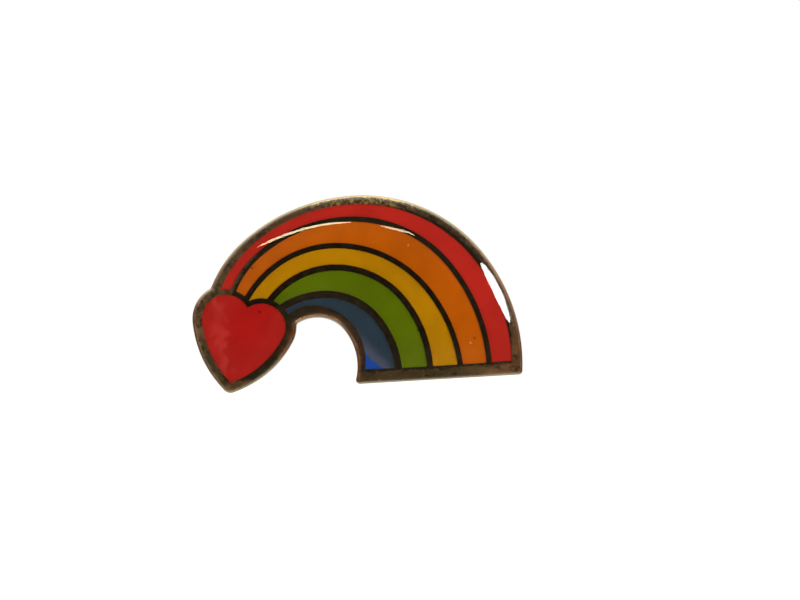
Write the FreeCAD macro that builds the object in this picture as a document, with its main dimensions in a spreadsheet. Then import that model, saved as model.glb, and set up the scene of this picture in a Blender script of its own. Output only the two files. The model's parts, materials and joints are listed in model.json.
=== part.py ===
"""Rainbow and heart lapel pin with a butterfly clutch on its post.

Frame: X to the wearer's left (right as seen), +Y back into the cloth, +Z up.
Origin: the middle of the post, on the back face of the plate. Millimetres.
"""
import FreeCAD, Part
import math
import os

import Sketcher

DRIVING_SIZES = {
    # die-struck plate, its cells and what fills them
    "plate_thickness": 1.5,
    "cell_depth": 0.4,
    "enamel_depth": 0.32,
    "rim_chamfer": 0.18,
    "corner_radius": 0.3,
    "tip_radius": 0.7,
    "foot_tilt": 3.4,
    "foot_drop": 6.17,
    "foot_border": 1.1,
    "plate_root_tilt": -27.5,
    "plate_root_drop": 7.33,
    "band_root_tilt": -19.0,
    "band_root_drop": 5.06,
    "root_turn": 42.0,
    "leg_turn": 50.0,
    # heart: two lobes, two flanks, and the metal around its cell
    "heart_left_x": -14.85,
    "heart_left_z": -1.45,
    "heart_left_lobe": 1.85,
    "heart_left_flank": 7.95,
    "heart_left_flank_z": -0.85,
    "heart_right_x": -12.15,
    "heart_right_z": -2.05,
    "heart_right_lobe": 1.8,
    "heart_right_flank": 7.2,
    "heart_right_flank_z": 0.45,
    "heart_line": 0.38,
    "heart_border": 0.8,
    # clear dome
    "dome_height": 1.1,
    "dome_inset": 0.16,
    "dome_round": 0.8,
    # post, its head and the solder that holds it
    "spot_radius": 3.0,
    "spot_depth": 0.15,
    "head_radius": 2.2,
    "head_proud": 0.35,
    "solder_proud": 0.24,
    "solder_shoulder_width": 0.29,
    "solder_shoulder_height": 0.05,
    "solder_edge_depth": 0.06,
    "post_radius": 0.55,
    "post_length": 8.6,
    "groove_radius": 0.38,
    "groove_start": 6.1,
    "groove_width": 0.3,
    "groove_slope": 0.2,
    "point_length": 1.1,
    "point_radius": 0.08,
    # clutch: base dish and cover
    "cloth_gap": 2.4,
    "sheet": 0.35,
    "base_radius": 5.75,
    "lip_height": 0.85,
    "lip_bend": 0.3,
    "post_hole": 0.62,
    "tooth_circle": 4.1,
    "tooth_tip_radius": 0.25,
    "tooth_height": 0.3,
    "tooth_taper": 30.0,
    "cover_half_x": 2.75,
    "cover_half_z": 3.4,
    "cover_height": 1.85,
    "cover_sheet": 0.3,
    "cover_bend": 0.6,
    "slot_half_width": 0.34,
    "slot_half_length": 2.75,
    # clutch: wings
    "jaw_gap": 0.05,
    "jaw_lift": 0.58,
    "jaw_notch": 0.58,
    "wing_sheet": 0.34,
    "riser_x": 1.55,
    "riser_top": 2.15,
    "wing_bend": 0.45,
    "ear_tip_x": 4.45,
    "ear_tip_rise": 5.9,
    "ear_half_width": 3.2,
    "neck_half_width": 2.5,
    "neck_top": 2.3,
    "neck_cut_reach": 4.0,
    "ear_corner": 1.7,
    # depth of a cut that goes right through whatever it starts on
    "through_cut": 20.0,
}

# Each bow is four tangent arcs. Left and right meet at the crown; left gives way
# to root, by the heart, once the bow has turned by root_turn, and right to leg,
# by the foot, after leg_turn. Width is that of the raised metal line it follows.
BOW_FIELDS = ("crown_x", "crown_z", "root", "left", "right", "leg", "width")
BOWS = {
    "rim": (-4.35, 8.05, 9.25, 13.85, 11.8, 13.65, 0.0),
    "red_edge": (-4.6, 7.32, 9.5, 12.4, 11.1, 13.5, 0.0),
    "red_orange": (-5.1, 6.15, 7.0, 10.95, 9.45, 13.8, 0.4),
    "orange_yellow": (-6.4, 4.15, 8.5, 7.75, 8.95, 11.85, 0.4),
    "yellow_green": (-6.45, 2.5, 6.3, 6.35, 6.7, 9.05, 0.46),
    "green_blue": (-7.2, 0.5, 6.1, 6.15, 5.1, 7.3, 0.52),
    "blue_edge": (-8.25, -0.35, 2.8, 2.85, 4.0, 4.4, 0.0),
    "arch": (-7.85, -1.35, 3.05, 3.1, 2.65, 4.35, 0.0),
}
BANDS = {
    "red": ("red_edge", "red_orange"),
    "orange": ("red_orange", "orange_yellow"),
    "yellow": ("orange_yellow", "yellow_green"),
    "green": ("yellow_green", "green_blue"),
    "blue": ("green_blue", "blue_edge"),
}

START, END, CENTRE = 1, 2, 3
ORIGIN_POINT = (-1, 1)
H_AXIS, V_AXIS = -1, -2
SHARP_ANGLE = math.radians(12)
TOLERANCE = 1e-4


# ---------------------------------------------------------------- document --

doc = FreeCAD.newDocument("EnamelPin")
sheet = doc.addObject("Spreadsheet::Sheet", "Dimensions")


def fill_sheet():
    """Write every driving dimension as one row: its name, and its value under that alias."""
    rows = dict(DRIVING_SIZES)
    for bow, values in BOWS.items():
        for field, value in zip(BOW_FIELDS, values):
            rows[f"{bow}_{field}"] = value
    for number, (name, value) in enumerate(rows.items(), start=1):
        sheet.set(f"A{number}", name)
        sheet.set(f"B{number}", str(value))
        sheet.setAlias(f"B{number}", name)
    doc.recompute()


class Size:
    """A length or angle with the sheet expression that drives it."""

    def __init__(self, value, text):
        self.value = value
        self.text = text

    def combine(self, other, sign, symbol):
        if not isinstance(other, Size):
            other = Size(other, repr(float(other)))
        return Size(self.value + sign * other.value, f"({self.text} {symbol} {other.text})")

    def __add__(self, other):
        return self.combine(other, 1, "+")

    def __sub__(self, other):
        return self.combine(other, -1, "-")

    def __neg__(self):
        return Size(-self.value, f"(-1 * {self.text})")

    def __mul__(self, factor):
        return Size(self.value * factor, f"({self.text} * {float(factor)!r})")


ZERO = Size(0.0, "0")


def size(name):
    return Size(float(sheet.get(name)), f"Dimensions.{name}")


def drive(owner, field, amount):
    """Bind one property of an object to the sheet."""
    owner.setExpression(field, amount.text)


# ---------------------------------------------------------------- sketches --

def new_body(label):
    body = doc.addObject("PartDesign::Body", label)
    body.Label = label
    return body


def new_sketch(body, role, offset=None):
    """A sketch on one of the body's own origin planes, offset along its normal."""
    sketch = body.newObject("Sketcher::SketchObject", "Sketch")
    plane = next(item for item in body.Origin.OriginFeatures if item.Role == role)
    sketch.AttachmentSupport = (plane, "")
    sketch.MapMode = "FlatFace"
    if offset is not None:
        sketch.AttachmentOffset = FreeCAD.Placement(
            FreeCAD.Vector(0, 0, offset.value), FreeCAD.Rotation())
        drive(sketch, "AttachmentOffset.Base.z", offset)
    return sketch


def bind(sketch, kind, *where, amount, unit=""):
    """Add a dimension to a sketch and let the sheet drive it."""
    value = math.radians(amount.value) if unit else amount.value
    index = sketch.addConstraint(Sketcher.Constraint(kind, *where, value))
    drive(sketch, f"Constraints[{index}]", Size(value, amount.text + unit))


def pin_point(sketch, geometry, point, x, y):
    """Hold a sketch point at x, y. A coordinate of ZERO puts it on the axis."""
    if x is ZERO:
        sketch.addConstraint(Sketcher.Constraint("PointOnObject", geometry, point, V_AXIS))
    else:
        bind(sketch, "DistanceX", geometry, point, amount=x)
    if y is ZERO:
        sketch.addConstraint(Sketcher.Constraint("PointOnObject", geometry, point, H_AXIS))
    else:
        bind(sketch, "DistanceY", geometry, point, amount=y)


def vector(x, y):
    return FreeCAD.Vector(x, y, 0)


def polar(centre, radius, degrees):
    angle = math.radians(degrees)
    return centre + vector(radius * math.cos(angle), radius * math.sin(angle))


def direction(centre, point):
    """Angle of the line from a centre to a point, in degrees from 0 to 360."""
    return math.degrees(math.atan2(point.y - centre.y, point.x - centre.x)) % 360


def add_arc(sketch, centre, radius, start, end):
    circle = Part.Circle(centre, FreeCAD.Vector(0, 0, 1), radius)
    arc = Part.ArcOfCircle(circle, math.radians(start), math.radians(end))
    return sketch.addGeometry(arc, False)


def add_line(sketch, start, end):
    return sketch.addGeometry(Part.LineSegment(start, end), False)


def join(sketch, kind, first, first_end, second, second_end):
    sketch.addConstraint(Sketcher.Constraint(kind, first, first_end, second, second_end))


def slanted_line_hit(centre, radius, tilt, drop, side):
    """Where a circle meets the line at the given tilt that passes drop below the origin."""
    along = vector(math.cos(math.radians(tilt)), math.sin(math.radians(tilt)))
    foot = vector(along.y, -along.x) * drop
    gap = centre - foot
    reach = gap.dot(along)
    height = math.sqrt(radius ** 2 - (gap.dot(gap) - reach ** 2))
    return foot + along * (reach + side * height)


def add_bow(sketch, name, shift, foot_drop, root_line):
    """Four tangent arcs of one bow, moved outward by shift.

    Returns the root and leg arcs with the places where each ends.
    """
    crown_x = size(f"{name}_crown_x")
    crown_z = size(f"{name}_crown_z") + shift
    root, left, right, leg = [size(f"{name}_{part}") + shift for part in BOW_FIELDS[2:6]]
    root_turn = size("root_turn")
    leg_turn = size("leg_turn")
    tilt = size("foot_tilt").value
    left_centre = vector(crown_x.value, crown_z.value - left.value)
    right_centre = vector(crown_x.value, crown_z.value - right.value)
    root_centre = polar(left_centre, left.value - root.value, 90 + root_turn.value)
    leg_centre = polar(right_centre, right.value - leg.value, 90 - leg_turn.value)
    root_end = slanted_line_hit(root_centre, root.value, size(f"{root_line}_tilt").value,
                                size(f"{root_line}_drop").value, -1)
    leg_end = slanted_line_hit(leg_centre, leg.value, tilt, foot_drop.value, 1)
    leg_start = direction(leg_centre, leg_end)
    if leg_start > 180:
        leg_start -= 360
    root_arc = add_arc(sketch, root_centre, root.value,
                       90 + root_turn.value, direction(root_centre, root_end))
    left_arc = add_arc(sketch, left_centre, left.value, 90, 90 + root_turn.value)
    right_arc = add_arc(sketch, right_centre, right.value, 90 - leg_turn.value, 90)
    leg_arc = add_arc(sketch, leg_centre, leg.value, leg_start, 90 - leg_turn.value)
    join(sketch, "Tangent", root_arc, START, left_arc, END)
    join(sketch, "Tangent", left_arc, START, right_arc, END)
    join(sketch, "Tangent", right_arc, START, leg_arc, END)
    for arc, radius in ((root_arc, root), (left_arc, left), (right_arc, right), (leg_arc, leg)):
        bind(sketch, "Radius", arc, amount=radius)
    pin_point(sketch, left_arc, START, crown_x, crown_z)
    join(sketch, "Vertical", left_arc, CENTRE, left_arc, START)
    bind(sketch, "Angle", left_arc, amount=root_turn, unit=" * 1 deg")
    bind(sketch, "Angle", right_arc, amount=leg_turn, unit=" * 1 deg")
    return root_arc, leg_arc, root_end, leg_end


def add_strip(sketch, outer, outer_shift, inner, inner_shift, foot_drop, root_line):
    """Close the space between two bows with the foot line and a line through the heart."""
    outer_root, outer_leg, outer_left, outer_foot = add_bow(
        sketch, outer, outer_shift, foot_drop, root_line)
    inner_root, inner_leg, inner_left, inner_foot = add_bow(
        sketch, inner, inner_shift, foot_drop, root_line)
    foot = add_line(sketch, inner_foot, outer_foot)
    join(sketch, "Coincident", foot, START, inner_leg, START)
    join(sketch, "Coincident", foot, END, outer_leg, START)
    root = add_line(sketch, outer_left, inner_left)
    join(sketch, "Coincident", root, START, outer_root, END)
    join(sketch, "Coincident", root, END, inner_root, END)
    lines = ((foot, foot_drop, size("foot_tilt")),
             (root, size(f"{root_line}_drop"), size(f"{root_line}_tilt")))
    for line, drop, tilt in lines:
        bind(sketch, "Distance", *ORIGIN_POINT, line, amount=drop)
        bind(sketch, "Angle", line, amount=tilt, unit=" * 1 deg")


def add_band(sketch, band):
    """The outline of one colour band's cell, run on into the heart."""
    outer, inner = BANDS[band]
    add_strip(sketch, outer, size(f"{outer}_width") * -0.5, inner, size(f"{inner}_width") * 0.5,
              size("foot_drop") - size("foot_border"), "band_root")


def circle_meeting(first, first_radius, second, second_radius, side):
    """One of the two points where two circles cross."""
    gap = second - first
    reach = (first_radius ** 2 - second_radius ** 2 + gap.dot(gap)) / (2 * gap.Length)
    height = math.sqrt(first_radius ** 2 - reach ** 2)
    along = gap * (1 / gap.Length)
    return first + along * reach + vector(-along.y, along.x) * (side * height)


def flank_centre(lobe_centre, reach, height, side):
    """Centre of the flank arc that touches a lobe from inside, at the given height."""
    rise = height - lobe_centre.y
    return vector(lobe_centre.x + side * math.sqrt(reach ** 2 - rise ** 2), height)


def add_heart(sketch, shift):
    """A heart of two lobes and two flanks, grown outward by shift."""
    left = vector(size("heart_left_x").value, size("heart_left_z").value)
    right = vector(size("heart_right_x").value, size("heart_right_z").value)
    radii = [size(f"heart_{part}") + shift
             for part in ("left_lobe", "left_flank", "right_flank", "right_lobe")]
    left_lobe, left_flank, right_flank, right_lobe = [radius.value for radius in radii]
    left_far = flank_centre(left, left_flank - left_lobe, size("heart_left_flank_z").value, 1)
    right_far = flank_centre(right, right_flank - right_lobe, size("heart_right_flank_z").value, -1)
    notch = circle_meeting(left, left_lobe, right, right_lobe, 1)
    tip = circle_meeting(left_far, left_flank, right_far, right_flank, 1)
    left_turn = direction(left_far, left)
    right_turn = direction(right_far, right)
    arcs = [
        add_arc(sketch, left, left_lobe, direction(left, notch), left_turn),
        add_arc(sketch, left_far, left_flank, left_turn, direction(left_far, tip)),
        add_arc(sketch, right_far, right_flank, direction(right_far, tip), right_turn + 360 * (
            right_turn < direction(right_far, tip))),
        add_arc(sketch, right, right_lobe, right_turn, direction(right, notch) + 360 * (
            direction(right, notch) < right_turn)),
    ]
    join(sketch, "Tangent", arcs[0], END, arcs[1], START)
    join(sketch, "Coincident", arcs[1], END, arcs[2], START)
    join(sketch, "Tangent", arcs[2], END, arcs[3], START)
    join(sketch, "Coincident", arcs[3], END, arcs[0], START)
    for arc, radius in zip(arcs, radii):
        bind(sketch, "Radius", arc, amount=radius)
    pin_point(sketch, arcs[0], CENTRE, size("heart_left_x"), size("heart_left_z"))
    pin_point(sketch, arcs[3], CENTRE, size("heart_right_x"), size("heart_right_z"))
    bind(sketch, "DistanceY", arcs[1], CENTRE, amount=size("heart_left_flank_z"))
    bind(sketch, "DistanceY", arcs[2], CENTRE, amount=size("heart_right_flank_z"))


def add_polygon(sketch, corners):
    """A closed outline with straight sides, each corner held by the sheet."""
    places = [vector(x.value, y.value) for x, y in corners]
    lines = [add_line(sketch, place, places[(index + 1) % len(places)])
             for index, place in enumerate(places)]
    for index, line in enumerate(lines):
        join(sketch, "Coincident", line, END, lines[(index + 1) % len(lines)], START)
        pin_point(sketch, line, START, *corners[index])


def add_circle(sketch, x, y, radius):
    circle = Part.Circle(vector(x.value, y.value), FreeCAD.Vector(0, 0, 1), radius.value)
    index = sketch.addGeometry(circle, False)
    pin_point(sketch, index, CENTRE, x, y)
    bind(sketch, "Radius", index, amount=radius)


def add_rectangle(sketch, low_x, high_x, low_y, high_y):
    add_polygon(sketch, ((low_x, low_y), (high_x, low_y), (high_x, high_y), (low_x, high_y)))


# ---------------------------------------------------------------- features --

def rebuild(feature):
    """Recompute the document, and stop if the feature failed."""
    doc.recompute()
    if {"Invalid", "Error"} & set(feature.State):
        raise RuntimeError(f"{feature.Name} failed: {feature.getStatusString()}")
    return feature


def pad(body, sketch, length, reverse=False, both_ways=False):
    feature = body.newObject("PartDesign::Pad", "Pad")
    feature.Profile = sketch
    feature.Reversed = reverse
    feature.Midplane = both_ways
    drive(feature, "Length", length)
    return rebuild(feature)


def pocket(body, sketch, length, reverse=False, both_ways=False):
    """Cut a sketch out of the body, and stop if nothing was cut."""
    before = body.Shape.Volume
    feature = body.newObject("PartDesign::Pocket", "Pocket")
    feature.Profile = sketch
    feature.Reversed = reverse
    feature.Midplane = both_ways
    drive(feature, "Length", length)
    rebuild(feature)
    if not body.Shape.Volume < before - TOLERANCE:
        raise RuntimeError(f"{body.Label}: {feature.Name} cuts nothing")
    return feature


def revolve(body, sketch):
    """Turn a half section about the post's axis."""
    feature = body.newObject("PartDesign::Revolution", "Revolution")
    feature.Profile = sketch
    feature.ReferenceAxis = (sketch, ["V_Axis"])
    feature.Angle = 360
    return rebuild(feature)


def dress(body, kind, field, edges, amount):
    """Fillet or chamfer the named edges of the body's tip."""
    if not edges:
        raise RuntimeError(f"{body.Label}: no edges for a {kind}")
    base = body.Tip
    feature = body.newObject(f"PartDesign::{kind}", kind)
    feature.Base = (base, edges)
    drive(feature, field, amount)
    return rebuild(feature)


def edge_names(shape, wanted):
    return [f"Edge{index}" for index, edge in enumerate(shape.Edges, start=1) if wanted(edge)]


def runs_along(edge, axis):
    """True for a straight edge parallel to the axis."""
    if not isinstance(edge.Curve, (Part.Line, Part.LineSegment)):
        return False
    return abs(edge.tangentAt(edge.FirstParameter).dot(axis)) > 1 - TOLERANCE


def is_sharp(shape, edge):
    """True where the two faces at an edge meet at an angle."""
    faces = shape.ancestorsOfType(edge, Part.Face)
    if len(faces) != 2:
        return False
    middle = edge.valueAt((edge.FirstParameter + edge.LastParameter) / 2)
    normals = [face.normalAt(*face.Surface.parameter(middle)) for face in faces]
    return normals[0].getAngle(normals[1]) > SHARP_ANGLE


def lies_at(edge, y):
    box = edge.BoundBox
    return abs(box.YMin - y) < TOLERANCE and abs(box.YMax - y) < TOLERANCE


def sharp_corners(shape):
    """Upright edges of a plate outline where its sides don't run on smoothly."""
    upright = FreeCAD.Vector(0, 1, 0)
    return [edge for edge in shape.Edges if runs_along(edge, upright) and is_sharp(shape, edge)]


def round_outline(body):
    """Round the outline's corners: the heart's tip by more than the others."""
    corners = sharp_corners(body.Shape)
    tip = min(corners, key=lambda edge: edge.BoundBox.ZMin)
    others = edge_names(body.Shape, lambda edge: any(edge.isSame(corner) for corner in corners
                                                     if not corner.isSame(tip)))
    dress(body, "Fillet", "Radius", others, size("corner_radius"))
    corners = sharp_corners(body.Shape)
    tip = min(corners, key=lambda edge: edge.BoundBox.ZMin)
    dress(body, "Fillet", "Radius", edge_names(body.Shape, tip.isSame), size("tip_radius"))


# ----------------------------------------------------------------- plate -----

def outline_block(body, start, thickness, inset):
    """The pin's silhouette, drawn in by inset: the arched strip and the heart over its root."""
    strip = new_sketch(body, "XZ_Plane", start)
    add_strip(strip, "rim", -inset, "arch", inset, size("foot_drop") - inset, "plate_root")
    pad(body, strip, thickness)
    heart = new_sketch(body, "XZ_Plane", start)
    add_heart(heart, size("heart_border") - inset)
    pad(body, heart, thickness)
    round_outline(body)


def make_base_plate():
    """Struck brass plate: bevelled rim, six cells in front, a spot face behind for the post."""
    body = new_body("base_plate")
    thickness = size("plate_thickness")
    depth = size("cell_depth")
    outline_block(body, ZERO, thickness, ZERO)
    front_rim = edge_names(body.Shape, lambda edge: lies_at(edge, -thickness.value))
    dress(body, "Chamfer", "Size", front_rim, size("rim_chamfer"))
    for band in BANDS:
        cell = new_sketch(body, "XZ_Plane", thickness)
        add_band(cell, band)
        pocket(body, cell, depth)
    line = new_sketch(body, "XZ_Plane", thickness - depth)
    add_heart(line, size("heart_line"))
    pad(body, line, depth)
    cell = new_sketch(body, "XZ_Plane", thickness)
    add_heart(cell, ZERO)
    pocket(body, cell, depth)
    spot = new_sketch(body, "XZ_Plane")
    add_circle(spot, ZERO, ZERO, size("spot_radius"))
    pocket(body, spot, size("spot_depth"), reverse=True)
    return body


def make_band_enamel(band):
    """Enamel in one colour band, cut back where the heart's raised line crosses it."""
    body = new_body(f"{band}_band_enamel")
    floor = size("plate_thickness") - size("cell_depth")
    depth = size("enamel_depth")
    fill = new_sketch(body, "XZ_Plane", floor)
    add_band(fill, band)
    pad(body, fill, depth)
    heart = new_sketch(body, "XZ_Plane", floor + depth)
    add_heart(heart, size("heart_line"))
    pocket(body, heart, depth)
    return body


def make_heart_enamel():
    body = new_body("heart_enamel")
    fill = new_sketch(body, "XZ_Plane", size("plate_thickness") - size("cell_depth"))
    add_heart(fill, ZERO)
    pad(body, fill, size("enamel_depth"))
    return body


def make_epoxy_dome(plate):
    """Clear resin over the whole face: it fills the cells above the enamel and rounds off in front."""
    blank = new_body("dome_blank")
    sunk = size("cell_depth") - size("enamel_depth")
    start = size("plate_thickness") - sunk
    height = size("dome_height") + sunk
    outline_block(blank, start, height, size("dome_inset"))
    front = -(start.value + height.value)
    front_rim = edge_names(blank.Shape, lambda edge: lies_at(edge, front))
    dress(blank, "Fillet", "Radius", front_rim, size("dome_round"))
    dome = doc.addObject("Part::Cut", "epoxy_dome")
    dome.Label = "epoxy_dome"
    dome.Base = blank
    dome.Tool = plate
    doc.recompute()
    return dome


# ------------------------------------------------------------------ post -----

def make_post():
    """Turned nail: flat head, shank, a snap groove and a conical point."""
    body = new_body("post")
    radius = size("post_radius")
    groove = size("groove_radius")
    start = size("groove_start")
    slope = size("groove_slope")
    floor_end = start + slope + size("groove_width")
    length = size("post_length")
    section = new_sketch(body, "XY_Plane")
    add_polygon(section, (
        (ZERO, -size("spot_depth")),
        (size("head_radius"), -size("spot_depth")),
        (size("head_radius"), size("head_proud")),
        (radius, size("head_proud")),
        (radius, start),
        (groove, start + slope),
        (groove, floor_end),
        (radius, floor_end + slope),
        (radius, length - size("point_length")),
        (size("point_radius"), length),
        (ZERO, length),
    ))
    revolve(body, section)
    return body


def make_solder_fillet():
    """Ring of solder in the spot face, around the post's head."""
    body = new_body("solder_fillet")
    section = new_sketch(body, "XY_Plane")
    add_polygon(section, (
        (size("head_radius"), -size("spot_depth")),
        (size("spot_radius"), -size("spot_depth")),
        (size("spot_radius"), -size("solder_edge_depth")),
        (size("head_radius") + size("solder_shoulder_width"), size("solder_shoulder_height")),
        (size("head_radius"), size("solder_proud")),
    ))
    revolve(body, section)
    return body


# ---------------------------------------------------------------- clutch -----

def clutch_height(rise):
    """Height along the post of a level that is rise above the clutch's cloth face."""
    return size("cloth_gap") + rise


def make_clutch_base():
    """Pressed dish: flat towards the cloth, lip turned back, four small teeth, a post hole."""
    body = new_body("clutch_base")
    radius = size("base_radius")
    sheet_top = clutch_height(size("sheet"))
    section = new_sketch(body, "XY_Plane")
    add_polygon(section, (
        (size("post_hole"), clutch_height(ZERO)),
        (radius, clutch_height(ZERO)),
        (radius, clutch_height(size("lip_height"))),
        (radius - size("sheet"), clutch_height(size("lip_height"))),
        (radius - size("sheet"), sheet_top),
        (size("post_hole"), sheet_top),
    ))
    revolve(body, section)
    bent = edge_names(body.Shape, lambda edge: (
        lies_at(edge, clutch_height(ZERO).value) and edge.BoundBox.XMax > radius.value - TOLERANCE))
    dress(body, "Fillet", "Radius", bent, size("lip_bend"))
    tooth = new_sketch(body, "XZ_Plane", -clutch_height(-size("tooth_height")))
    add_circle(tooth, size("tooth_circle"), ZERO, size("tooth_tip_radius"))
    tooth_pad = pad(body, tooth, size("tooth_height"), reverse=True)
    drive(tooth_pad, "TaperAngle", size("tooth_taper"))
    ring = body.newObject("PartDesign::PolarPattern", "Teeth")
    ring.Originals = [tooth_pad]
    ring.Axis = (tooth, ["N_Axis"])
    ring.Angle = 360
    ring.Occurrences = 4
    body.Tip = ring
    doc.recompute()
    return body


def make_clutch_cover():
    """Box cover on the dish: a post hole and a slot on each side for a wing."""
    body = new_body("clutch_cover")
    base_top = clutch_height(size("sheet"))
    half_x = size("cover_half_x")
    half_z = size("cover_half_z")
    wall = size("cover_sheet")
    block = new_sketch(body, "XZ_Plane", -base_top)
    add_rectangle(block, -half_x, half_x, -half_z, half_z)
    pad(body, block, size("cover_height"), reverse=True)
    upright = FreeCAD.Vector(0, 1, 0)
    corners = edge_names(body.Shape, lambda edge: runs_along(edge, upright))
    dress(body, "Fillet", "Radius", corners, size("cover_bend") + wall)
    top = base_top.value + size("cover_height").value
    top_rim = edge_names(body.Shape, lambda edge: lies_at(edge, top))
    dress(body, "Fillet", "Radius", top_rim, wall)
    hollow = new_sketch(body, "XZ_Plane", -base_top)
    add_rectangle(hollow, wall - half_x, half_x - wall, wall - half_z, half_z - wall)
    pocket(body, hollow, size("cover_height") - wall)
    openings = new_sketch(body, "XZ_Plane", -base_top)
    add_circle(openings, ZERO, ZERO, size("post_hole"))
    for side in (-1, 1):
        middle = size("riser_x") * side
        add_rectangle(openings, middle - size("slot_half_width"), middle + size("slot_half_width"),
                      -size("slot_half_length"), size("slot_half_length"))
    pocket(body, openings, size("through_cut"))
    return body


def make_wing(label, turn):
    """Spring-brass lever: notched jaw beside the post, riser through its slot, ear outside."""
    body = new_body(label)
    jaw_level = clutch_height(size("sheet") + size("jaw_lift"))
    riser = size("riser_x")
    bend_end = clutch_height(size("riser_top"))
    tip_x = size("ear_tip_x")
    tip_y = clutch_height(size("ear_tip_rise"))
    bend = size("wing_bend")
    path = new_sketch(body, "XY_Plane")
    jaw = add_line(path, vector(size("jaw_gap").value, jaw_level.value),
                   vector(riser.value - bend.value, jaw_level.value))
    lower = add_arc(path, vector(riser.value - bend.value, jaw_level.value + bend.value),
                    bend.value, 270, 360)
    upright = add_line(path, vector(riser.value, jaw_level.value + bend.value),
                       vector(riser.value, bend_end.value))
    slant = direction(vector(riser.value, bend_end.value), vector(tip_x.value, tip_y.value))
    upper_centre = vector(riser.value + bend.value, bend_end.value)
    upper = add_arc(path, upper_centre, bend.value, 90 + slant, 180)
    ear = add_line(path, polar(upper_centre, bend.value, 90 + slant),
                   vector(tip_x.value, tip_y.value))
    join(path, "Tangent", jaw, END, lower, START)
    join(path, "Tangent", lower, END, upright, START)
    join(path, "Tangent", upright, END, upper, END)
    join(path, "Tangent", upper, START, ear, START)
    path.addConstraint(Sketcher.Constraint("Horizontal", jaw))
    path.addConstraint(Sketcher.Constraint("Vertical", upright))
    pin_point(path, jaw, START, size("jaw_gap"), jaw_level)
    pin_point(path, upright, END, riser, bend_end)
    pin_point(path, ear, END, tip_x, tip_y)
    for arc in (lower, upper):
        bind(path, "Radius", arc, amount=bend)
    section = new_sketch(body, "YZ_Plane", size("jaw_gap"))
    half_sheet = size("wing_sheet") * 0.5
    add_rectangle(section, jaw_level - half_sheet, jaw_level + half_sheet,
                  -size("ear_half_width"), size("ear_half_width"))
    strip = body.newObject("PartDesign::AdditivePipe", "Strip")
    strip.Profile = section
    strip.Spine = path
    doc.recompute()
    neck = new_sketch(body, "YZ_Plane")
    for side in (-1, 1):
        add_rectangle(neck, clutch_height(ZERO), clutch_height(size("neck_top")),
                      size("neck_half_width") * side, size("neck_cut_reach") * side)
    pocket(body, neck, size("through_cut"), both_ways=True)
    notch = new_sketch(body, "XZ_Plane", -clutch_height(ZERO))
    add_circle(notch, ZERO, ZERO, size("jaw_notch"))
    pocket(body, notch, size("cover_height"))
    far = tip_x.value - size("wing_sheet").value
    corners = edge_names(body.Shape, lambda edge: (
        edge.BoundBox.XMin > far - size("wing_sheet").value
        and edge.BoundBox.ZLength < TOLERANCE
        and abs(edge.Length - size("wing_sheet").value) < TOLERANCE))
    dress(body, "Fillet", "Radius", corners, size("ear_corner"))
    body.Placement = FreeCAD.Placement(
        FreeCAD.Vector(0, 0, 0), FreeCAD.Rotation(FreeCAD.Vector(0, 1, 0), turn))
    doc.recompute()
    return body


# --------------------------------------------------------------- hand-over ---

def check_document(sub_parts):
    """Stop if anything in the document failed or a sub-part isn't sound."""
    doc.recompute()
    for item in doc.Objects:
        if {"Invalid", "Error"} & set(item.State):
            raise RuntimeError(f"{item.Label} failed: {item.State}")
        if item.TypeId == "Sketcher::SketchObject" and item.solve() != 0:
            raise RuntimeError(f"{item.Label} doesn't solve")
    for part in sub_parts:
        shape = part.Shape
        if shape.isNull() or not shape.isValid() or len(shape.Solids) != 1:
            raise RuntimeError(f"{part.Label} isn't one sound solid")
        box = shape.BoundBox
        print(f"{part.Label:22s} volume {shape.Volume:8.3f}  "
              f"X {box.XMin:7.2f} {box.XMax:7.2f}  Y {box.YMin:6.2f} {box.YMax:6.2f}  "
              f"Z {box.ZMin:6.2f} {box.ZMax:6.2f}")


def main():
    fill_sheet()
    plate = make_base_plate()
    sub_parts = [plate]
    sub_parts += [make_band_enamel(band) for band in BANDS]
    sub_parts += [
        make_heart_enamel(),
        make_epoxy_dome(plate),
        make_post(),
        make_solder_fillet(),
        make_clutch_base(),
        make_clutch_cover(),
        make_wing("right_wing", 0),
        make_wing("left_wing", 180),
    ]
    check_document(sub_parts)
    os.makedirs("parts", exist_ok=True)
    for part in sub_parts:
        part.Shape.exportStep(f"parts/{part.Label}.step")


main()
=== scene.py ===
import json
import math

import bmesh
import bpy
import numpy as np
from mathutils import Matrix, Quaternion, Vector, geometry


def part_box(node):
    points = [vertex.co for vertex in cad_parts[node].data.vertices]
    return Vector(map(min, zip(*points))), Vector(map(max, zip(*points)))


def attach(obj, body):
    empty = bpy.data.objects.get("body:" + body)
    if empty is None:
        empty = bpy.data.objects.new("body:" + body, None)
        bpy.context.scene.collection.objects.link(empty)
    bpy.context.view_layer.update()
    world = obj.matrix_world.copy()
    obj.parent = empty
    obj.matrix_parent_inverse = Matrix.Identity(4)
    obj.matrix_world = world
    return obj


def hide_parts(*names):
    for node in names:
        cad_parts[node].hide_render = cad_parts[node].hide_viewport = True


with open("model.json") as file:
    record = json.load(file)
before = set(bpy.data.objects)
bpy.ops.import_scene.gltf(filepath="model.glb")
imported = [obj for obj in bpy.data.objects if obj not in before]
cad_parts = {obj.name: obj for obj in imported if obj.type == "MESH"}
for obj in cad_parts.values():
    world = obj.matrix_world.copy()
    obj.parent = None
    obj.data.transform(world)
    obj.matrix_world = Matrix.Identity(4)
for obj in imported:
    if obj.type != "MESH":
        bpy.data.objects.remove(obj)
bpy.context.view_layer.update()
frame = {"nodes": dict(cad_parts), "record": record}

MM = 0.001
NODES = frame["nodes"]

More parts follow.
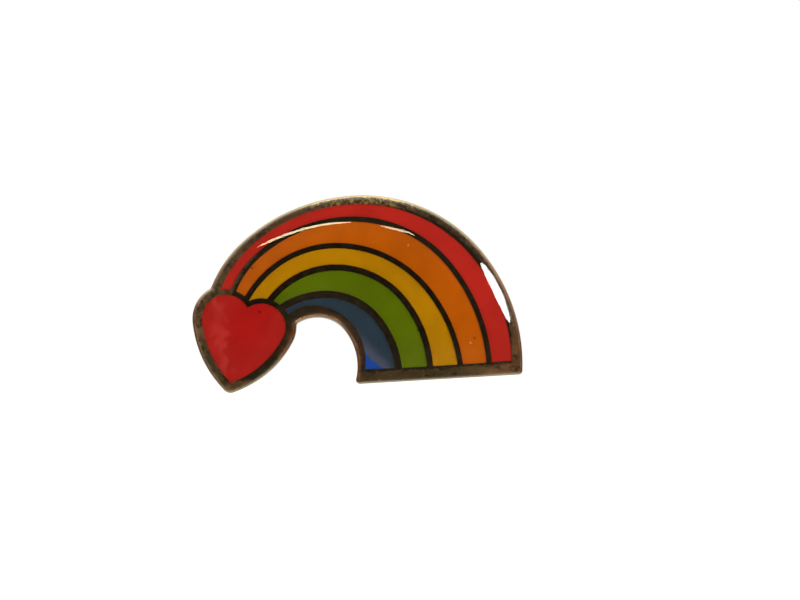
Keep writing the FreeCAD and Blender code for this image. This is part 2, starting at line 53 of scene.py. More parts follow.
PLATE_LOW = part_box("base_plate")[0]
DOME_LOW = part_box("epoxy_dome")[0]
ENAMEL_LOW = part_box("heart_enamel")[0]
FRONT_Y = PLATE_LOW.y
ENAMEL_Y = ENAMEL_LOW.y
DOME_TOP_Y = DOME_LOW.y


# ---- meshes ----------------------------------------------------------------

def box_mm(node):
    """A CAD node's lowest and highest corners in millimetres."""
    return [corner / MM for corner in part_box(node)]


def add_object(name, vertices, faces, smooth=True):
    mesh = bpy.data.meshes.new(name)
    mesh.from_pydata([tuple(v) for v in vertices], [], [tuple(f) for f in faces])
    mesh.validate()
    mesh.update()
    mesh.polygons.foreach_set("use_smooth", [smooth] * len(mesh.polygons))
    piece = bpy.data.objects.new(name, mesh)
    bpy.context.scene.collection.objects.link(piece)
    return piece


def lathe(name, section, steps=96, shift=None):
    """Turn a closed section of (radius, y) points, in mm, about the post's axis.

    The section runs outward below and back inward above. Shift may move each point by its angle.
    """
    vertices, faces = [], []
    count = len(section)
    for step in range(steps):
        angle = 2 * math.pi * step / steps
        following = (step + 1) % steps
        for index, (radius, y) in enumerate(section):
            if shift:
                radius, y = shift(index, angle, radius, y)
            vertices.append(Vector((radius * math.cos(angle), y, radius * math.sin(angle))) * MM)
            beyond = (index + 1) % count
            faces.append((step * count + index, step * count + beyond,
                          following * count + beyond, following * count + index))
    piece = add_object(name, vertices, faces)
    piece.data.set_sharp_from_angle(angle=math.radians(50))
    return piece


# ---- clutch base and solder -------------------------------------------------------

SHEET = 0.35
POST_HOLE = 0.64
TOOTH_CIRCLE = 4.1
TOOTH_HEIGHT = 0.3
TOOTH_SPREAD = 0.42
BEAD_RADIUS = 4.95
BEAD_HALF_WIDTH = 0.28
BEAD_HEIGHT = 0.12


def bead_rise(radius):
    away = min(abs(radius - BEAD_RADIUS) / BEAD_HALF_WIDTH, 1.0)
    return BEAD_HEIGHT * 0.5 * (1 + math.cos(math.pi * away))


def build_clutch_base():
    """The clutch's stamped dish: a pressed ring, a rolled lip and four punched teeth."""
    low, high = (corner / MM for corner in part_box("clutch_base"))
    edge, cloth_y, lip_y = high.x, low.y + TOOTH_HEIGHT, high.y
    inside_y = cloth_y + SHEET
    radii = [POST_HOLE + 0.04 + 0.1 * step for step in range(47)]
    below = [(POST_HOLE, cloth_y + 0.05)] + [(radius, cloth_y + bead_rise(radius)) for radius in radii]
    lip = [(edge - 0.20, cloth_y + 0.02), (edge - 0.06, cloth_y + 0.10), (edge, cloth_y + 0.26),
           (edge, lip_y - 0.18), (edge - 0.04, lip_y - 0.06), (edge - 0.13, lip_y),
           (edge - 0.25, lip_y), (edge - 0.34, lip_y - 0.06), (edge - 0.37, lip_y - 0.16),
           (edge - 0.37, inside_y + 0.13), (edge - 0.41, inside_y + 0.04), (edge - 0.48, inside_y)]
    above = [(radius, inside_y + bead_rise(radius)) for radius in reversed(radii)]
    above.append((POST_HOLE, inside_y - 0.05))

    def punch(index, angle, radius, y):
        quarter = (angle + math.pi / 4) % (math.pi / 2) - math.pi / 4
        gap = math.hypot(radius * math.cos(quarter) - TOOTH_CIRCLE, radius * math.sin(quarter))
        share = max(1 - gap / TOOTH_SPREAD, 0.0)
        if index < len(below):
            return radius, y - TOOTH_HEIGHT * share
        if index >= len(below) + len(lip):
            return radius, y - TOOTH_HEIGHT * share * (2 - share) * 0.8
        return radius, y

    base = lathe("stamped_clutch_base", below + lip + above, steps=240, shift=punch)
    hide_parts("clutch_base")
    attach(base, "clutch")
    return base


SOLDER_FOOT = 0.1


def build_solder():
    """A ring of solder round the post's head, its skin uneven and its edge ragged."""
    low, high = (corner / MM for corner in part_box("solder_fillet"))
    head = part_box("post")[1].x / MM
    edge, foot, top = high.x, low.y + 0.01, high.y
    section = [(head - 0.02, foot), (edge - 0.04, foot), (edge - 0.01, foot + 0.05),
               (edge - 0.06, foot + SOLDER_FOOT), (edge - 0.2, foot + 0.14), (edge - 0.34, foot + 0.17),
               (edge - 0.48, foot + 0.2), (head + 0.22, foot + 0.23), (head + 0.12, foot + 0.28),
               (head + 0.06, top - 0.04), (head - 0.02, top - 0.01)]

    def puddle(index, angle, radius, y):
        if index < 2 or index == len(section) - 1:
            return radius, y
        ragged = 0.5 + 0.3 * math.sin(3 * angle + 0.7) + 0.2 * math.sin(8 * angle + 2.1)
        lumps = 0.5 + 0.3 * math.sin(4 * angle + index) + 0.2 * math.sin(11 * angle - 1.7 * index)
        return radius - 0.05 * ragged, y - 0.03 * lumps

    solder = lathe("soldered_ring", section, steps=180, shift=puddle)
    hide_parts("solder_fillet")
    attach(solder, "pin")
    return solder


# ---- clear dome --------------------------------------------------------------

LOOP_STEP = 0.12 * MM
GRID_STEP = 0.2 * MM
RING_DEPTHS = [depth * MM for depth in (0.03, 0.07, 0.13, 0.21, 0.31, 0.43, 0.57, 0.75, 0.98, 1.26)]
CAPILLARY_LENGTH = 1.9 * MM
EDGE_ROUND = 0.16 * MM
EDGE_STEP = 0.1 * MM
DOME_HIDDEN = 0.05 * MM


def rim_loop(node, level):
    """The longest closed run of edges round a node's flat face at the given y, as (x, z) points."""
    bm = bmesh.new()
    bm.from_mesh(NODES[node].data)
    bmesh.ops.remove_doubles(bm, verts=bm.verts, dist=1e-7)
    links = {}
    for edge in bm.edges:
        at_level = all(abs(vertex.co.y - level) < 0.01 * MM for vertex in edge.verts)
        flat = [face for face in edge.link_faces if abs(face.normal.y) > 0.9]
        if at_level and len(flat) == 1:
            first, second = edge.verts
            links.setdefault(first, []).append(second)
            links.setdefault(second, []).append(first)
    start = min(links, key=lambda vertex: vertex.co.x)
    loop, previous, current = [start], None, start
    while True:
        onward = [vertex for vertex in links[current] if vertex is not previous][0]
        if onward is start:
            break
        previous, current = current, onward
        loop.append(current)
    points = np.array([(vertex.co.x, vertex.co.z) for vertex in loop])
    bm.free()
    return points


def signed_area(points):
    following = np.roll(points, -1, axis=0)
    return 0.5 * np.sum(points[:, 0] * following[:, 1] - following[:, 0] * points[:, 1])


def smooth_loop(points, step):
    """Pass a centripetal Catmull-Rom curve through a loop and space its points evenly."""
    count = len(points)
    fine = []
    for index in range(count):
        p0, p1, p2, p3 = (points[(index + offset) % count] for offset in (-1, 0, 1, 2))
        knots = [0.0]
        for a, b in ((p0, p1), (p1, p2), (p2, p3)):
            knots.append(knots[-1] + math.sqrt(max(np.linalg.norm(b - a), 1e-9)))
        t0, t1, t2, t3 = knots
        pieces = max(2, int(np.linalg.norm(p2 - p1) / (step * 0.25)))
        for t in np.linspace(t1, t2, pieces, endpoint=False):
            a1 = ((t1 - t) * p0 + (t - t0) * p1) / (t1 - t0)
            a2 = ((t2 - t) * p1 + (t - t1) * p2) / (t2 - t1)
            a3 = ((t3 - t) * p2 + (t - t2) * p3) / (t3 - t2)
            b1 = ((t2 - t) * a1 + (t - t0) * a2) / (t2 - t0)
            b2 = ((t3 - t) * a2 + (t - t1) * a3) / (t3 - t1)
            fine.append(((t2 - t) * b1 + (t - t1) * b2) / (t2 - t1))
    fine = np.array(fine)
    lengths = np.linalg.norm(np.roll(fine, -1, axis=0) - fine, axis=1)
    along = np.concatenate(([0.0], np.cumsum(lengths)))
    wanted = np.linspace(0, along[-1], int(along[-1] / step), endpoint=False)
    closed = np.vstack((fine, fine[:1]))
    return np.column_stack([np.interp(wanted, along, closed[:, axis]) for axis in (0, 1)])


def distance_to_loop(points, loop):
    """Shortest distance from each point to a closed polygon."""
    start, end = loop, np.roll(loop, -1, axis=0)
    side = end - start
    square = np.sum(side ** 2, axis=1)
    nearest = np.full(len(points), np.inf)
    for block in range(0, len(points), 500):
        gap = points[block:block + 500, None, :] - start[None, :, :]
        share = np.clip(np.sum(gap * side, axis=2) / square, 0, 1)
        gap -= share[:, :, None] * side
        nearest[block:block + 500] = np.sqrt(np.min(np.sum(gap ** 2, axis=2), axis=1))
    return nearest


def inside_loop(points, loop):
    """True for points inside a closed polygon."""
    x, z = points[:, 0:1], points[:, 1:2]
    x1, z1 = loop[:, 0], loop[:, 1]
    x2, z2 = np.roll(x1, -1), np.roll(z1, -1)
    crosses = (z1 > z) != (z2 > z)
    rise = np.where(z2 == z1, 1e-12, z2 - z1)
    hits = crosses & (x < (x2 - x1) * (z - z1) / rise + x1)
    return np.sum(hits, axis=1) % 2 == 1


def plan_points(loop):
    """Rings of points that follow the loop inwards, then an even triangular grid."""
    following = np.roll(loop, -1, axis=0)
    before = np.roll(loop, 1, axis=0)
    run = following - before
    run /= np.linalg.norm(run, axis=1)[:, None]
    inward = np.column_stack((-run[:, 1], run[:, 0]))
    if signed_area(loop) < 0:
        inward = -inward
    found = []
    for number, depth in enumerate(RING_DEPTHS):
        stride = 1 if number < 7 else 2
        ring = (loop + inward * depth)[::stride]
        keep = inside_loop(ring, loop) & (distance_to_loop(ring, loop) > depth * 0.97)
        found.append(ring[keep])
    low, high = loop.min(axis=0), loop.max(axis=0)
    rows = np.arange(low[1], high[1], GRID_STEP * math.sqrt(0.75))
    grid = [(x + (row % 2) * GRID_STEP / 2, z) for row, z in enumerate(rows)
            for x in np.arange(low[0], high[0], GRID_STEP)]
    grid = np.array(grid)
    grid = grid[inside_loop(grid, loop)]
    grid = grid[distance_to_loop(grid, loop) > RING_DEPTHS[-1] + GRID_STEP * 0.7]
    return np.vstack(found + [grid])


def liquid_heights(points, triangles, fixed):
    """Solve the flat-drop equation h'' - h / length^2 = -1 with h = 0 at the fixed points."""
    corners = points[triangles]
    ab, ac = corners[:, 1] - corners[:, 0], corners[:, 2] - corners[:, 0]
    area = 0.5 * np.abs(ab[:, 0] * ac[:, 1] - ab[:, 1] * ac[:, 0])
    opposite = np.stack((corners[:, 2] - corners[:, 1], corners[:, 0] - corners[:, 2],
                         corners[:, 1] - corners[:, 0]), axis=1)
    stiffness = np.einsum("tik,tjk->tij", opposite, opposite) / (4 * area)[:, None, None]
    mass = np.zeros(len(points))
    for corner in range(3):
        np.add.at(mass, triangles[:, corner], area / 3)
    rows = np.repeat(triangles, 3, axis=1).ravel()
    columns = np.tile(triangles, (1, 3)).ravel()
    values = stiffness.ravel()
    free = ~fixed

    def apply(heights):
        spread = np.bincount(rows, values * heights[columns], len(points))
        return np.where(free, spread + mass * heights / CAPILLARY_LENGTH ** 2, 0.0)

    diagonal = np.bincount(rows, values * (rows == columns), len(points)) + mass
    heights = np.zeros(len(points))
    residual = np.where(free, mass, 0.0)
    scaled = residual / diagonal
    direction = scaled.copy()
    energy = residual @ scaled
    first = energy
    for _ in range(2000):
        pushed = apply(direction)
        step = energy / (direction @ pushed)
        heights += step * direction
        residual -= step * pushed
        scaled = residual / diagonal
        following = residual @ scaled
        if following < first * 1e-14:
            break
        direction = scaled + direction * (following / energy)
        energy = following
    return heights


def build_dome():
    """Poured resin: a drop held by the plate's rim, flat in the middle and round at its edge."""
    loop = smooth_loop(rim_loop("epoxy_dome", FRONT_Y), LOOP_STEP)
    if signed_area(loop) < 0:
        loop = loop[::-1]
    inner = plan_points(loop)
    everything = np.vstack((loop, inner))
    # work in millimetres, which the triangulation's tolerance expects
    plan = [Vector(point) for point in everything / MM]
    border = [(index, (index + 1) % len(loop)) for index in range(len(loop))]
    places, _, triangles, _, _, _ = geometry.delaunay_2d_cdt(plan, border, [], 1, 1e-5)
    places = np.array([(place.x, place.y) for place in places]) * MM
    triangles = np.array([list(face) for face in triangles])
    depth = distance_to_loop(places, loop)
    fixed = depth < RING_DEPTHS[0] * 0.3
    heights = liquid_heights(places, triangles, fixed)
    lift = FRONT_Y - DOME_TOP_Y
    share = np.clip(depth / EDGE_ROUND, 0, 1)
    rounding = EDGE_STEP * np.sqrt(1 - (1 - share) ** 2)
    heights = heights / heights.max() * (lift - EDGE_STEP) * 0.99 + rounding
    top = [(x, FRONT_Y - height, z) for (x, z), height in zip(places, heights)]
    counts = {}
    for face in triangles:
        for a, b in ((face[0], face[1]), (face[1], face[2]), (face[2], face[0])):
            counts[(a, b)] = counts.get((a, b), 0) + 1
    rim = {a: b for a, b in counts if (b, a) not in counts}
    start = next(iter(rim))
    order = [start]
    while rim[order[-1]] != start:
        order.append(rim[order[-1]])
    seat_y = ENAMEL_Y + DOME_HIDDEN
    seat = [(places[index][0], seat_y, places[index][1]) for index in order]
    base = len(top)
    faces = [tuple(face) for face in triangles]
    for index in range(len(order)):
        following = (index + 1) % len(order)
        faces.append((order[following], order[index], base + index, base + following))
    faces.append(tuple(base + index for index in reversed(range(len(order)))))
    dome = add_object("clear_dome", top + seat, faces)
    bm = bmesh.new()
    bm.from_mesh(dome.data)
    bmesh.ops.recalc_face_normals(bm, faces=bm.faces)
    bm.to_mesh(dome.data)
    bm.free()
    dome.data.polygons[-1].use_smooth = False
    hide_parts("epoxy_dome")
    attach(dome, "pin")
    return dome


# ---- materials ---------------------------------------------------------------

class Shader:
    """A node material with a few short ways to add nodes. Lengths are millimetres on the object."""

    def __init__(self, name):
        self.material = bpy.data.materials.new(name)
        self.material.use_nodes = True
        self.tree = self.material.node_tree
        self.tree.nodes.clear()
        self.output = self.add("ShaderNodeOutputMaterial")
        self.surface = self.add("ShaderNodeBsdfPrincipled")
        self.link(self.surface.outputs[0], self.output.inputs["Surface"])
        scale = self.add("ShaderNodeVectorMath", operation="SCALE")
        self.link(self.add("ShaderNodeTexCoord").outputs["Object"], scale.inputs[0])
        scale.inputs["Scale"].default_value = 1 / MM
        self.place = scale.outputs[0]
        split = self.add("ShaderNodeSeparateXYZ")
        self.link(self.place, split.inputs[0])
        self.x, self.y, self.z = split.outputs

    def add(self, kind, **settings):
        node = self.tree.nodes.new(kind)
        for key, value in settings.items():
            setattr(node, key, value)
        return node

    def link(self, source, target):
        self.tree.links.new(source, target)

    def fill(self, socket, value):
        """Give a socket a link or a constant."""
        if isinstance(value, bpy.types.NodeSocket):
            self.link(value, socket)
        elif isinstance(value, tuple) and socket.type == "RGBA":
            socket.default_value = (*value, 1.0)
        else:
            socket.default_value = value

    def set(self, **values):
        for key, value in values.items():
            self.fill(self.surface.inputs[key.replace("_", " ")], value)

    def noise(self, per_mm, detail=3.0, distortion=0.0, stretch=None):
        node = self.add("ShaderNodeTexNoise")
        place = self.place
        if stretch:
            mapping = self.add("ShaderNodeMapping")
            mapping.inputs["Scale"].default_value = stretch
            self.link(place, mapping.inputs["Vector"])
            place = mapping.outputs[0]
        self.link(place, node.inputs["Vector"])
        node.inputs["Scale"].default_value = per_mm
        node.inputs["Detail"].default_value = detail
        node.inputs["Distortion"].default_value = distortion
        return node.outputs[0]

    def specks(self, per_mm, low, high):
        """1 away from scattered ragged spots, falling to 0 at them."""
        node = self.add("ShaderNodeTexVoronoi")
        self.link(self.place, node.inputs["Vector"])
        node.inputs["Scale"].default_value = per_mm
        ragged = self.math("MULTIPLY", self.noise(9.0, detail=2.0), 1.6)
        return self.ramp(self.math("MULTIPLY", node.outputs["Distance"], ragged), low, high)

    def math(self, operation, first, second=0.0, clamp=False):
        node = self.add("ShaderNodeMath", operation=operation, use_clamp=clamp)
        self.fill(node.inputs[0], first)
        self.fill(node.inputs[1], second)
        return node.outputs[0]

    def ramp(self, value, low, high, to_low=0.0, to_high=1.0):
        """Carry value from low..high to another range, smoothly and without overshoot."""
        if low > high:
            low, high, to_low, to_high = high, low, to_high, to_low
        node = self.add("ShaderNodeMapRange", interpolation_type="SMOOTHSTEP")
        for socket, amount in zip(node.inputs, (value, low, high, to_low, to_high)):
            self.fill(socket, amount)
        return node.outputs[0]

    def mix(self, share, first, second):
        node = self.add("ShaderNodeMix", data_type="RGBA")
        self.fill(node.inputs[0], share)
        self.fill(node.inputs[6], first)
        self.fill(node.inputs[7], second)
        return node.outputs[2]

    def bump(self, height, depth_mm, under=None):
        """A bump whose full height step is depth_mm."""
        node = self.add("ShaderNodeBump")
        self.fill(node.inputs["Height"], height)
        node.inputs["Distance"].default_value = depth_mm * MM
        if under is not None:
            self.link(under, node.inputs["Normal"])
        return node.outputs[0]


def tint(colour, share):
    return tuple(channel * share for channel in colour)


DUST = (0.40, 0.24, 0.15)


def enamel_base(shader, colour, shade=0.86):
    """Opaque enamel: faint clouding, fine pigment grain and a few dark specks."""
    clouds = shader.ramp(shader.noise(0.3, detail=4.0, distortion=0.5), 0.35, 0.65)
    body = shader.mix(clouds, tint(colour, shade), colour)
    grain = shader.ramp(shader.noise(7.0, detail=2.0), 0.35, 0.7)
    body = shader.mix(grain, shader.mix(0.06, body, (0.0, 0.0, 0.0)), body)
    body = shader.mix(shader.specks(0.5, 0.03, 0.05), tint(colour, 0.4), body)
    body = shader.mix(shader.specks(0.37, 0.008, 0.035), DUST, body)
    scratch = shader.noise(1.1, detail=3.0, distortion=0.3, stretch=(2.2, 1.0, 0.35))
    return shader.mix(shader.ramp(scratch, 0.745, 0.765, 0.0, 0.35), body, DUST)


def finish_enamel(shader, body):
    """The enamel's own face: a satin skin with a slight orange-peel, sealed under the resin."""
    shader.set(Base_Color=body, Specular_IOR_Level=0.0,
               Roughness=shader.ramp(shader.noise(1.5), 0.3, 0.7, 0.35, 0.5),
               Normal=shader.bump(shader.noise(1.1), 0.01))
    return shader.material


def band_enamel(name, colour):
    shader = Shader(name)
    return finish_enamel(shader, enamel_base(shader, colour))


BLUE_PATCH = (0.006, 0.042, 0.25)
BLUE_STREAK = (0.065, 0.075, 0.12)
# the patch's slanting edge, how sharp it is, and where the streak beside it starts and ends
PATCH_SETBACK = 1.0
PATCH_EDGE = 0.06
STREAK_START = 1.5
STREAK_END = 0.2
LEG_SIDE_FADE = 0.5


def blue_enamel(name, colour):
    """Slate blue that turns royal blue in the corner of the foot, past a greyish streak."""
    shader = Shader(name)
    body = enamel_base(shader, colour)
    low, high = box_mm(name)
    leg_x = (low.x + high.x) / 2
    patch_line = high.x + low.z - PATCH_SETBACK
    across = shader.math("ADD", shader.x, shader.z)
    wander = shader.ramp(shader.noise(0.8), 0.3, 0.7, -0.12, 0.12)
    across = shader.math("ADD", across, wander)
    leg = shader.ramp(shader.x, leg_x, leg_x + LEG_SIDE_FADE)
    streak = shader.ramp(across, patch_line + STREAK_START, patch_line + STREAK_END, 0.0, 0.6)
    body = shader.mix(shader.math("MULTIPLY", leg, streak), body, BLUE_STREAK)
    patch = shader.ramp(across, patch_line + PATCH_EDGE, patch_line - PATCH_EDGE)
    body = shader.mix(shader.math("MULTIPLY", leg, patch), body, BLUE_PATCH)
    return finish_enamel(shader, body)


HEART_BLOOM = (0.50, 0.055, 0.05)
# how far in from the heart's left side the bloom comes up and dies away
BLOOM_RISE = (0.2, 0.8)
BLOOM_FALL = (1.7, 1.1)


def heart_enamel(name, colour):
    """Deep red with a soft paler bloom down the left lobe."""
    shader = Shader(name)
    body = enamel_base(shader, colour)
    slant = shader.math("MULTIPLY", shader.z, 0.12)
    along = shader.math("ADD", shader.x, slant)
    wander = shader.ramp(shader.noise(0.7, detail=4.0, distortion=0.8), 0.3, 0.7, -0.5, 0.5)
    along = shader.math("ADD", along, wander)
    side_x = box_mm(name)[0].x
    left = shader.ramp(along, side_x + BLOOM_RISE[0], side_x + BLOOM_RISE[1])
    right = shader.ramp(along, side_x + BLOOM_FALL[0], side_x + BLOOM_FALL[1])
    bloom = shader.math("MULTIPLY", left, right)
    broken = shader.ramp(shader.noise(1.2, detail=5.0, stretch=(1.0, 1.0, 0.35)), 0.3, 0.75, 0.05, 0.32)
    body = shader.mix(shader.math("MULTIPLY", bloom, broken), body, HEART_BLOOM)
    return finish_enamel(shader, body)


GOLD = (0.60, 0.40, 0.15)
PALE_GOLD = (0.70, 0.53, 0.27)
# painted highlights on the chamfer, facing up and facing down
PAINTED_TOP_SHEEN = (0.50, 0.40, 0.21)
PAINTED_FOOT_SHEEN = (0.60, 0.52, 0.36)
# painted copper reflection, used round the arch, low on the right border and on the sideways chamfer
PAINTED_COPPER_REFLECTION = (0.50, 0.25, 0.12)
# brown and olive on the border: partly tarnish, partly painted dark reflection
BROWN = (0.42, 0.23, 0.13)
DARK_OLIVE = (0.15, 0.12, 0.055)
OLD_GOLD = (0.72, 0.58, 0.20)
# painted dark reflection: the gold plate's front painted dark bronze for the dark room it mirrors
PAINTED_DARK_BRONZE = (0.15, 0.115, 0.05)
LINE_Y = FRONT_Y / MM
PLATE = box_mm("base_plate")
HEART = box_mm("heart_enamel")
RED = box_mm("red_band_enamel")
BLUE = box_mm("blue_band_enamel")
# how far the marks lie from the corners that place them, and how softly they end
CROWN_DEPTH = 1.35
CROWN_FADE = 0.6
FOOT_RISE = 0.1
FOOT_FADE = 0.35
RED_INSET = 0.2
BORDER_FADE = 0.3
ARCH_DROP = 1.35
ARCH_REACH = 3.3
CORNER_WIDTH = 2.4
CORNER_FADE = 1.3
DARK_FOOT_FADE = 3.0
LEG_FADE = 1.5
CROWN_Z = PLATE[1].z - CROWN_DEPTH
CORNER_X = PLATE[1].x - CORNER_WIDTH
MIDDLE_Z = (PLATE[0].z + PLATE[1].z) / 2
# the foot's raised line runs under the lowest corners of the red and blue enamel
FOOT_SLOPE = (RED[0].z - BLUE[0].z) / (RED[1].x - BLUE[1].x)
FOOT_Z = RED[0].z - FOOT_SLOPE * RED[1].x + FOOT_RISE
# a circle just inside the red band's outer edge: centre x, centre z, radius
RED_HALF_WIDTH = (RED[1].x - RED[0].x) / 2
RED_CIRCLE = ((RED[0].x + RED[1].x) / 2, RED[1].z - RED_HALF_WIDTH, RED_HALF_WIDTH - RED_INSET)
# a circle on the arch's own border, where the painted copper reflection runs, set by the opening that
# the record states
OPENING = [Vector(corner) / MM for corner in frame["record"]["physics"]["openings"][0]["box_m"]]
ARCH_CIRCLE = ((OPENING[0].x + OPENING[1].x) / 2, OPENING[1].z - ARCH_DROP, ARCH_REACH)


def reach_from(shader, centre_x, centre_z):
    """Distance across the face from a point."""
    across = shader.math("POWER", shader.math("SUBTRACT", shader.x, centre_x), 2.0)
    up = shader.math("POWER", shader.math("SUBTRACT", shader.z, centre_z), 2.0)
    return shader.math("SQRT", shader.math("ADD", across, up))


def foot_border(shader):
    """1 on the border along the foot, 0 above it."""
    above_foot = shader.math("SUBTRACT", shader.z, shader.math("MULTIPLY", shader.x, FOOT_SLOPE))
    return shader.ramp(above_foot, FOOT_Z, FOOT_Z - FOOT_FADE)


def outer_border(shader):
    """1 on the plate's outer border, 0 on the lines between the colours."""
    border = foot_border(shader)
    centre_x, centre_z, radius = RED_CIRCLE
    beyond = shader.ramp(reach_from(shader, centre_x, centre_z), radius, radius + BORDER_FADE)
    return shader.math("MAXIMUM", border, beyond)


def border_metal(shader):
    """Border: brown running slowly to olive black, partly tarnish and partly painted dark reflection,
    with fine grain, pale flecks, a painted darker foot and a painted copper reflection low on the
    right.
    """
    # brown to olive mottling, partly tarnish and partly painted dark reflection
    slow = shader.ramp(shader.noise(0.13, detail=2.0), 0.38, 0.62)
    border = shader.mix(slow, DARK_OLIVE, BROWN)
    patina = shader.ramp(shader.noise(0.9, detail=5.0, distortion=0.4), 0.30, 0.75, 0.0, 0.6)
    border = shader.mix(patina, border, DARK_OLIVE)
    # painted shade: the foot border darkened, fading out towards the right corner
    away = shader.ramp(shader.x, CORNER_X, CORNER_X - DARK_FOOT_FADE)
    painted_dark_foot = shader.math("MULTIPLY", foot_border(shader), away)
    right_leg = shader.ramp(shader.x, HEART[1].x - LEG_FADE, HEART[1].x + LEG_FADE)
    border = shader.mix(shader.math("MULTIPLY", painted_dark_foot, right_leg), border, tint(PAINTED_DARK_BRONZE, 0.7))
    # painted copper reflection on the border, low in the right corner
    beside = shader.ramp(shader.x, CORNER_X, CORNER_X + CORNER_FADE)
    beneath = shader.ramp(shader.z, MIDDLE_Z - 1, MIDDLE_Z - 3)
    painted_copper_patch = shader.math("MULTIPLY", beside, beneath)
    border = shader.mix(shader.math("MULTIPLY", painted_copper_patch, 0.7), border, tint(PAINTED_COPPER_REFLECTION, 0.75))
    grain = shader.ramp(shader.noise(4.5, detail=4.0), 0.3, 0.7, 0.0, 0.35)
    border = shader.mix(grain, border, PAINTED_DARK_BRONZE)
    flecks = shader.ramp(shader.noise(3.2, detail=4.0, distortion=1.2), 0.66, 0.74, 0.0, 0.5)
    border = shader.mix(flecks, border, PALE_GOLD)
    scuffs = shader.ramp(shader.noise(1.5, detail=6.0, distortion=2.2), 0.47, 0.56)
    crown = shader.ramp(shader.z, CROWN_Z, CROWN_Z + CROWN_FADE)
    return shader.mix(shader.math("MULTIPLY", scuffs, crown), border, OLD_GOLD)


def painted_dark_front(shader):
    """Painted dark reflection on the front: dark bronze lines between the colours, a border partly
    tarnished and partly painted dark, and a painted copper reflection round the arch.
    """
    dark = shader.mix(outer_border(shader), PAINTED_DARK_BRONZE, border_metal(shader))
    centre_x, centre_z, radius = ARCH_CIRCLE
    # painted copper reflection along the arch's border, broken up by noise
    arch = shader.ramp(reach_from(shader, centre_x, centre_z), radius + 0.25, radius - 0.2)
    broken_gleam = shader.ramp(shader.noise(1.2, detail=3.0, distortion=1.0), 0.35, 0.65, 0.35, 1.0)
    return shader.mix(shader.math("MULTIPLY", arch, broken_gleam), dark, PAINTED_COPPER_REFLECTION)


def plated_gold(shader):
    """Old gold plate: slow shade changes, a thin dull film and a few pits."""
    tarnish = shader.ramp(shader.noise(0.12, detail=3.0, distortion=0.4), 0.35, 0.7)
    gold = shader.mix(tarnish, PALE_GOLD, GOLD)
    film = shader.ramp(shader.noise(0.5, detail=6.0, distortion=0.5), 0.40, 0.75, 0.0, 0.22)
    gold = shader.mix(film, gold, tint(GOLD, 0.55))
    return shader.mix(shader.specks(0.9, 0.02, 0.07), tint(GOLD, 0.35), gold)


def plate_metal():
    """The struck plate: gold sides and back, a front painted dark bronze as a painted reflection of a
    dark room, and a chamfer with painted reflections, pale where it faces up or down and copper-dark
    where it faces sideways.
    """
    shader = Shader("plated_metal")
    gold = plated_gold(shader)
    facing = shader.add("ShaderNodeSeparateXYZ")
    shader.link(shader.add("ShaderNodeTexCoord").outputs["Normal"], facing.inputs[0])
    # painted reflections on the chamfer, set by which way it faces: copper-dark sideways, pale up and
    # down
    chamfer_sheen = shader.mix(shader.ramp(facing.outputs["Z"], 0.25, 0.6), tint(PAINTED_COPPER_REFLECTION, 0.7), PAINTED_TOP_SHEEN)
    chamfer_sheen = shader.mix(shader.ramp(facing.outputs["Z"], -0.35, -0.62), chamfer_sheen, PAINTED_FOOT_SHEEN)
    edge = shader.ramp(shader.y, LINE_Y + 0.45, LINE_Y + 0.3)
    gold = shader.mix(edge, gold, chamfer_sheen)
    # the front face takes the painted dark reflection colour in place of the gold
    front = shader.ramp(shader.y, LINE_Y + 0.07, LINE_Y + 0.015)
    stipple = shader.noise(7.0, detail=2.0)
    swell = shader.noise(0.7)
    dull = shader.ramp(shader.noise(2.0, detail=4.0), 0.3, 0.7, 0.26, 0.42)
    bright = shader.ramp(shader.noise(2.0, detail=4.0), 0.3, 0.7, 0.14, 0.26)
    scoured = shader.ramp(shader.noise(1.6, detail=5.0, distortion=1.5), 0.3, 0.7, 0.26, 0.52)
    bright = shader.mix(outer_border(shader), bright, scoured)
    shader.set(Base_Color=shader.mix(front, gold, painted_dark_front(shader)), Metallic=1.0,
               Roughness=shader.mix(front, dull, bright),
               Normal=shader.bump(stipple, 0.007, under=shader.bump(swell, 0.02)))
    return shader.material


def sheet_metal(name, light, dark, brushed=(1.0, 1.0, 1.0)):
    """Rolled sheet: slow tarnish, fine rolling marks, hairline scratches and a few spots."""
    shader = Shader(name)
    tarnish = shader.ramp(shader.noise(0.2, detail=3.0, distortion=0.6), 0.35, 0.7)
    body = shader.mix(tarnish, light, dark)
    streaks = shader.ramp(shader.noise(2.2, detail=4.0, stretch=brushed), 0.35, 0.7, 0.0, 0.35)
    body = shader.mix(streaks, body, tint(dark, 0.7))
    body = shader.mix(shader.specks(0.7, 0.03, 0.1), tint(dark, 0.5), body)
    rolled = shader.noise(5.0, detail=3.0, stretch=brushed)
    shader.set(Base_Color=body, Metallic=1.0,
               Roughness=shader.ramp(shader.noise(1.2, detail=5.0), 0.3, 0.7, 0.2, 0.34),
               Normal=shader.bump(shader.noise(1.0), 0.02, under=shader.bump(rolled, 0.004)))
    return shader.material


def solder_metal():
    """Dull grey solder with a grainy, slightly puddled skin and brown flux stains."""
    shader = Shader("solder")
    clouds = shader.ramp(shader.noise(1.4, detail=5.0, distortion=0.8), 0.35, 0.7)
    body = shader.mix(clouds, (0.36, 0.35, 0.33), (0.60, 0.59, 0.56))
    flux = shader.ramp(shader.noise(1.1, detail=3.0), 0.58, 0.66, 0.0, 0.6)
    body = shader.mix(flux, body, (0.22, 0.13, 0.05))
    shader.set(Base_Color=body, Metallic=0.9,
               Roughness=shader.ramp(shader.noise(4.0), 0.3, 0.7, 0.35, 0.6),
               Normal=shader.bump(shader.noise(3.5, detail=5.0), 0.04))
    return shader.material


